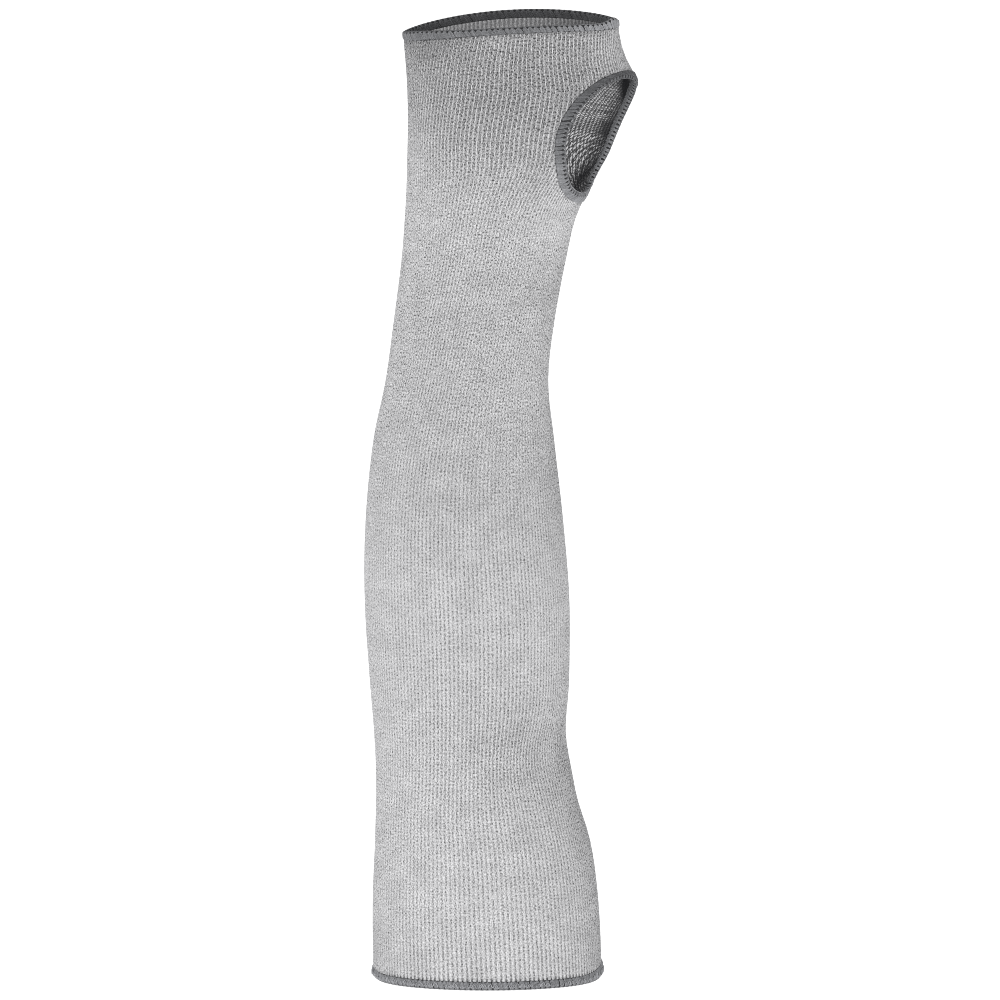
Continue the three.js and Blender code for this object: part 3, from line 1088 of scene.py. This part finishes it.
cell_values = {
    "Wale": cell_wale,
    "Course": cell_course,
    "Rise": calculate(cells, "DIVIDE", cell_course, COURSES),
    "Rib": calculate(cells, "MULTIPLY", calculate(cells, "PINGPONG", cell_wale, 0.5), 2.0),
    "Distance": cell_points.outputs["Distance"],
    "Chance": add_node(cells, "SeparateColor", {0: cell_points.outputs["Color"]}).outputs[0],
    "Patch": cell_noise(cell_place, PATCH_SCALE, 2.0),
    "Mottle": cell_noise(cell_place, MOTTLE_SCALE, 1.0),
    "Grain": cell_noise(multiply_place(cell_place, (GRAINS_ACROSS, GRAINS_UP, 0)), 1.0, 1.0),
}
for output, value in cell_values.items():
    cells.interface.new_socket(output, in_out="OUTPUT", socket_type="NodeSocketFloat")
    cells.links.new(value, cells_out.inputs[output])
print("stitch cells:", WALES, "by", COURSES)

# %% [markdown]
# The face of the knit is a run of bright ribs with a darker, speckled valley between them. Where the stitches
# are pulled open, the ribs get thinner and the valleys darker, and the painted shade stored with the openness
# comes along with it. Where the cloth is slack, the ribs fade into an even speckle. The tone could be a
# picture wrapped round the sleeve, but nodes on the flat map stay sharp at any distance.

# %% Ribs and valleys of the knit's face
FACE_LIGHT = (0.90, 0.90, 0.91, 1)
FACE_DARK = (0.02, 0.02, 0.022, 1)
KNIT_ROUGHNESS = 0.95
KNIT_SHINE = 0.1
FACE_WOBBLE = 0.26
# pairs of values: where the stitches are closed, and where they are pulled open
RIB_STARTS = (0.15, 0.76)
RIB_ENDS = (0.60, 1.02)
SLACK_RIB = (0.55, 0.22)
VALLEY_TONES = (0.455, 0.25)
RIB_TONE = 0.63
PATCH_GAIN = 0.9
PATCH_LEAST = 0.45
SPECK_CORE = 0.08
SPECK_EDGE = 0.45
SPECK_DEPTH = -0.8
SPECK_FREE = 1.12

face, face_shader = open_finish("knit_face", KNIT_ROUGHNESS, KNIT_SHINE)
face_cells = add_group(face, cells, Wobble=FACE_WOBBLE).outputs
# How open the stitches are, with the painted shade stored in it.
opened_and_shaded = add_node(face, "Attribute", attribute_name="openness_and_shade").outputs["Fac"]
rib_face = fade(face, face_cells["Rib"], mix(face, opened_and_shaded, *RIB_STARTS), mix(face, opened_and_shaded, *RIB_ENDS))
patch = calculate(face, "MULTIPLY_ADD", face_cells["Patch"], PATCH_GAIN, PATCH_LEAST)
rib_face = calculate(face, "MULTIPLY", rib_face, patch)
clear = add_node(face, "Attribute", attribute_name="clearness").outputs["Fac"]
rib_face = mix(face, clear, mix(face, opened_and_shaded, *SLACK_RIB), rib_face)
speck = fade(face, face_cells["Distance"], SPECK_CORE, SPECK_EDGE, 1, 0)
speck = calculate(face, "MULTIPLY", speck, face_cells["Chance"])
speck_tone = calculate(face, "MULTIPLY_ADD", speck, SPECK_DEPTH, SPECK_FREE)
valley_tone = calculate(face, "MULTIPLY", mix(face, opened_and_shaded, *VALLEY_TONES), speck_tone)
print("valley tones", VALLEY_TONES, "beside ribs of", RIB_TONE)

# %% [markdown]
# Above the arm hem, which draws the cloth in, the valleys end in pits. They could be modelled, but they are
# shorter than a face of the mesh, so the shade in them is painted: near the hem the valleys are darkened,
# most of all right at its edge. The yarn is a salt and pepper grey, and its fine grain lies over everything:
# strongest in the valleys, where the stitches are pulled open and where the cloth is slack.

# %% Painted shade in the pits above the arm hem, and the grain of the yarn
HEM_PITS_FROM = 0.0072
HEM_PITS_TO = 0.0125
HEM_RIBS_TO = 0.08
HEM_PIT_SHADE = 0.15
HEM_VALLEY_SHADE = 0.85
GRAIN_GAINS = (2.4, 5.2)
GRAIN_ON_RIBS = 0.5
GRAIN_WHERE_SLACK = 1.9
GRAIN_LEAST = 0.1
GRAIN_MOST = 1.35
MOTTLE_GAIN = 0.25
MOTTLE_LEAST = 0.875

pit_shade = fade(face, face_cells["Rise"], HEM_PITS_FROM, HEM_PITS_TO, HEM_PIT_SHADE, HEM_VALLEY_SHADE)
valley_shade_fading = fade(face, face_cells["Rise"], HEM_PITS_TO, HEM_RIBS_TO, 0, 1 - HEM_VALLEY_SHADE)
valley_tone = calculate(face, "MULTIPLY", valley_tone, calculate(face, "ADD", pit_shade, valley_shade_fading))
tone = mix(face, rib_face, valley_tone, RIB_TONE)
grain_gain = mix(face, opened_and_shaded, *GRAIN_GAINS)
grain_gain = calculate(face, "MULTIPLY", grain_gain, mix(face, rib_face, 1.0, GRAIN_ON_RIBS))
grain_gain = calculate(face, "MULTIPLY", grain_gain, mix(face, clear, GRAIN_WHERE_SLACK, 1.0))
grain = calculate(face, "SUBTRACT", face_cells["Grain"], 0.5)
grain = calculate(face, "MULTIPLY_ADD", grain, grain_gain, 1.0)
grain = calculate(face, "MINIMUM", calculate(face, "MAXIMUM", grain, GRAIN_LEAST), GRAIN_MOST)
tone = calculate(face, "MULTIPLY", tone, grain)
# Painted light and shade of the worn form, times the random mottle of the cloth.
light = add_node(face, "Attribute", attribute_name="painted_face_shading").outputs["Fac"]
mottle = calculate(face, "MULTIPLY_ADD", face_cells["Mottle"], MOTTLE_GAIN, MOTTLE_LEAST)
tone = calculate(face, "MULTIPLY", tone, calculate(face, "MULTIPLY", light, mottle))
face_height = calculate(face, "SUBTRACT", rib_face, speck)
face_bump = add_node(face, "Bump", {"Strength": 0.4, "Distance": 0.0003, "Height": face_height})
face.links.new(mix_colours(face, tone, FACE_DARK, FACE_LIGHT), face_shader.inputs["Base Color"])
face.links.new(face_bump.outputs[0], face_shader.inputs["Normal"])
print("knit face finished with", len(face.nodes), "nodes")

# %% [markdown]
# The back of a jersey knit shows the other side of the loops: columns of short slanted strokes with dark
# gaps. The columns bend where the cloth is pulled round the thumb. The loops could be laid as thread, but
# they are seen only through the openings, so nodes do. Every column has its own run of strokes, shifted by
# half a stroke from the one beside it, because strokes in step would look like a print.

# %% Columns and strokes of the knit's back
BACK_WOBBLE = 0.2
COLUMN_BEND = 0.043
COLUMN_BEND_COURSE = 264.5
COLUMN_BEND_REACH = 22
COLUMN_GAP = 0.06
COLUMN_FULL = 0.38
COLUMN_GAP_TONE = 0.10
COLUMN_SHIFT = 0.5
STROKES_PER_COURSE = 1.2
STROKE_SLANT = 1.7
STROKE_SHIFT = 1.2
STROKE_GAP = 0.08
STROKE_FULL = 0.46
STROKE_CHANCES = (0.55, 1.25)

back, back_shader = open_finish("knit_back", KNIT_ROUGHNESS, KNIT_SHINE)
back_cells = add_group(back, cells, Wobble=BACK_WOBBLE).outputs
from_bend = calculate(back, "SUBTRACT", back_cells["Course"], COLUMN_BEND_COURSE)
from_bend = calculate(back, "MINIMUM", calculate(back, "ABSOLUTE", from_bend), COLUMN_BEND_REACH)
bend = calculate(back, "MULTIPLY", calculate(back, "MULTIPLY", from_bend, from_bend), COLUMN_BEND)
column_way = calculate(back, "ADD", back_cells["Wale"], bend)
column_face = fade(back, calculate(back, "PINGPONG", column_way, 0.5), COLUMN_GAP, COLUMN_FULL)
stroke_way = calculate(back, "MULTIPLY", back_cells["Course"], STROKES_PER_COURSE)
stroke_way = calculate(back, "MULTIPLY_ADD", calculate(back, "FRACT", column_way), STROKE_SLANT, stroke_way)
stroke_way = calculate(back, "MULTIPLY_ADD", calculate(back, "FLOOR", column_way), COLUMN_SHIFT, stroke_way)
stroke_way = calculate(back, "MULTIPLY_ADD", back_cells["Patch"], STROKE_SHIFT, stroke_way)
stroke_face = fade(back, calculate(back, "PINGPONG", stroke_way, 0.5), STROKE_GAP, STROKE_FULL)
bump_top = calculate(back, "MULTIPLY", fade(back, column_face, 0, 1, COLUMN_GAP_TONE, 1.0), stroke_face)
bump_top = calculate(back, "MULTIPLY", bump_top, fade(back, back_cells["Chance"], 0, 1, *STROKE_CHANCES))
print("strokes up the sleeve:", round(COURSES * STROKES_PER_COURSE))

# %% [markdown]
# Under the hand hem, where the cloth is stretched most, only pale streaks show. The knit is thin, and some
# light comes through it from outside. A translucent shader could do that, but it would need more samples to
# come out clean, so the back glows weakly in its own colour instead.

# %% Streaks under the hand hem, and the tone of the back
BACK_TONES = (0.09, 1.80)
GRAIN_LOW = 0.30
GRAIN_HIGH = 0.70
STROKE_GRAIN = (0.45, 1.20)
STREAK_LEAN = 0.31
STREAK_GAP = 0.06
STREAK_FULL = 0.42
STREAK_TONES = (0.33, 0.70)
STREAK_GRAIN = (0.60, 1.20)
STREAKS_FROM = 0.955
STREAKS_TO = 0.975
THROUGH_LIGHT = 0.30

stroke_grain = fade(back, back_cells["Grain"], GRAIN_LOW, GRAIN_HIGH, *STROKE_GRAIN)
back_tone = calculate(back, "MULTIPLY", mix(back, bump_top, *BACK_TONES), stroke_grain)
streak_way = calculate(back, "MULTIPLY_ADD", back_cells["Course"], STREAK_LEAN, back_cells["Wale"])
streak = fade(back, calculate(back, "PINGPONG", streak_way, 0.5), STREAK_GAP, STREAK_FULL, *STREAK_TONES)
streak_grain = fade(back, back_cells["Grain"], GRAIN_LOW, GRAIN_HIGH, *STREAK_GRAIN)
streak = calculate(back, "MULTIPLY", streak, streak_grain)
back_tone = mix(back, fade(back, back_cells["Rise"], STREAKS_FROM, STREAKS_TO), back_tone, streak)
# Painted shade inside the sleeve, stored on the points.
lit = add_node(back, "Attribute", attribute_name="painted_inner_shade").outputs["Fac"]
back_tone = calculate(back, "MULTIPLY", back_tone, lit)
back_colour = mix_colours(back, back_tone, FACE_DARK, FACE_LIGHT)
back_bump = add_node(back, "Bump", {"Strength": 0.7, "Distance": 0.0005, "Height": bump_top})
back.links.new(back_colour, back_shader.inputs["Base Color"])
back.links.new(back_colour, back_shader.inputs["Emission Color"])
back.links.new(back_bump.outputs[0], back_shader.inputs["Normal"])
back_shader.inputs["Emission Strength"].default_value = THROUGH_LIGHT
print("knit back finished with", len(back.nodes), "nodes")

# %% [markdown]
# The overlock thread is a soft, crimped, bluish grey thread, whose tone changes from strand to strand by
# chance; the tones that the stitches were marked with also hold painted light and shade. The core below it
# stands for the shadow between the threads, a painted shade, so it is nearly black.

# %% Finish of the hem threads
THREAD_LIGHT = (0.44, 0.446, 0.464, 1)
THREAD_DARK = (0.0, 0.0, 0.0, 1)
CORE_LIGHT = (0.05, 0.05, 0.053, 1)
CORE_DARK = (0.01, 0.01, 0.011, 1)
THREAD_ROUGHNESS = 0.85
THREAD_SHINE = 0.2
CORE_ROUGHNESS = 0.95
CORE_SHINE = 0.5
FIBRES_PER_METRE = 1800
FIBRE_LOW = 0.30
FIBRE_HIGH = 0.70
FIBRE_TONES = (0.40, 0.62)

thread, thread_shader = open_finish("hem_thread", THREAD_ROUGHNESS, THREAD_SHINE)
thread_fibre = add_group(thread, fibres, Scale=FIBRES_PER_METRE).outputs["Fibre"]
thread_tone_and_shade = add_node(thread, "Attribute", attribute_name="thread_tone_and_shade").outputs["Fac"]
fibre_tone = fade(thread, thread_fibre, FIBRE_LOW, FIBRE_HIGH, *FIBRE_TONES)
thread_tone_and_shade = calculate(thread, "MULTIPLY", thread_tone_and_shade, fibre_tone)
thread_colour = mix_colours(thread, thread_tone_and_shade, THREAD_DARK, THREAD_LIGHT)
thread_bump = add_node(thread, "Bump", {"Strength": 0.4, "Distance": 0.0002, "Height": thread_fibre})
thread.links.new(thread_colour, thread_shader.inputs["Base Color"])
thread.links.new(thread_bump.outputs[0], thread_shader.inputs["Normal"])

core_tree, core_shader = open_finish("hem_shadow_core", CORE_ROUGHNESS, CORE_SHINE)
core_fibre = add_group(core_tree, fibres, Scale=FIBRES_PER_METRE).outputs["Fibre"]
core_colour = mix_colours(core_tree, core_fibre, CORE_DARK, CORE_LIGHT)
core_tree.links.new(core_colour, core_shader.inputs["Base Color"])

for row in stitch_rows:
    row.data.materials.append(bpy.data.materials["hem_thread"])
for core in cores:
    core.data.materials.append(bpy.data.materials["hem_shadow_core"])
print("hem finishes set on", len(stitch_rows) + len(cores), "pieces")

# %% [markdown]
# ## Handing the pieces to the frame
#
# The sleeve has no joints, so all its pieces ride on one body. Before it is worn, the knit is a narrower
# tube, 100 mm wide when it lies flat, which the arm stretches.

for piece in [knit, *cores, *stitch_rows]:
    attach(piece, "root")
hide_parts("knit_tube")
print("pieces on root:", 1 + len(cores) + len(stitch_rows))
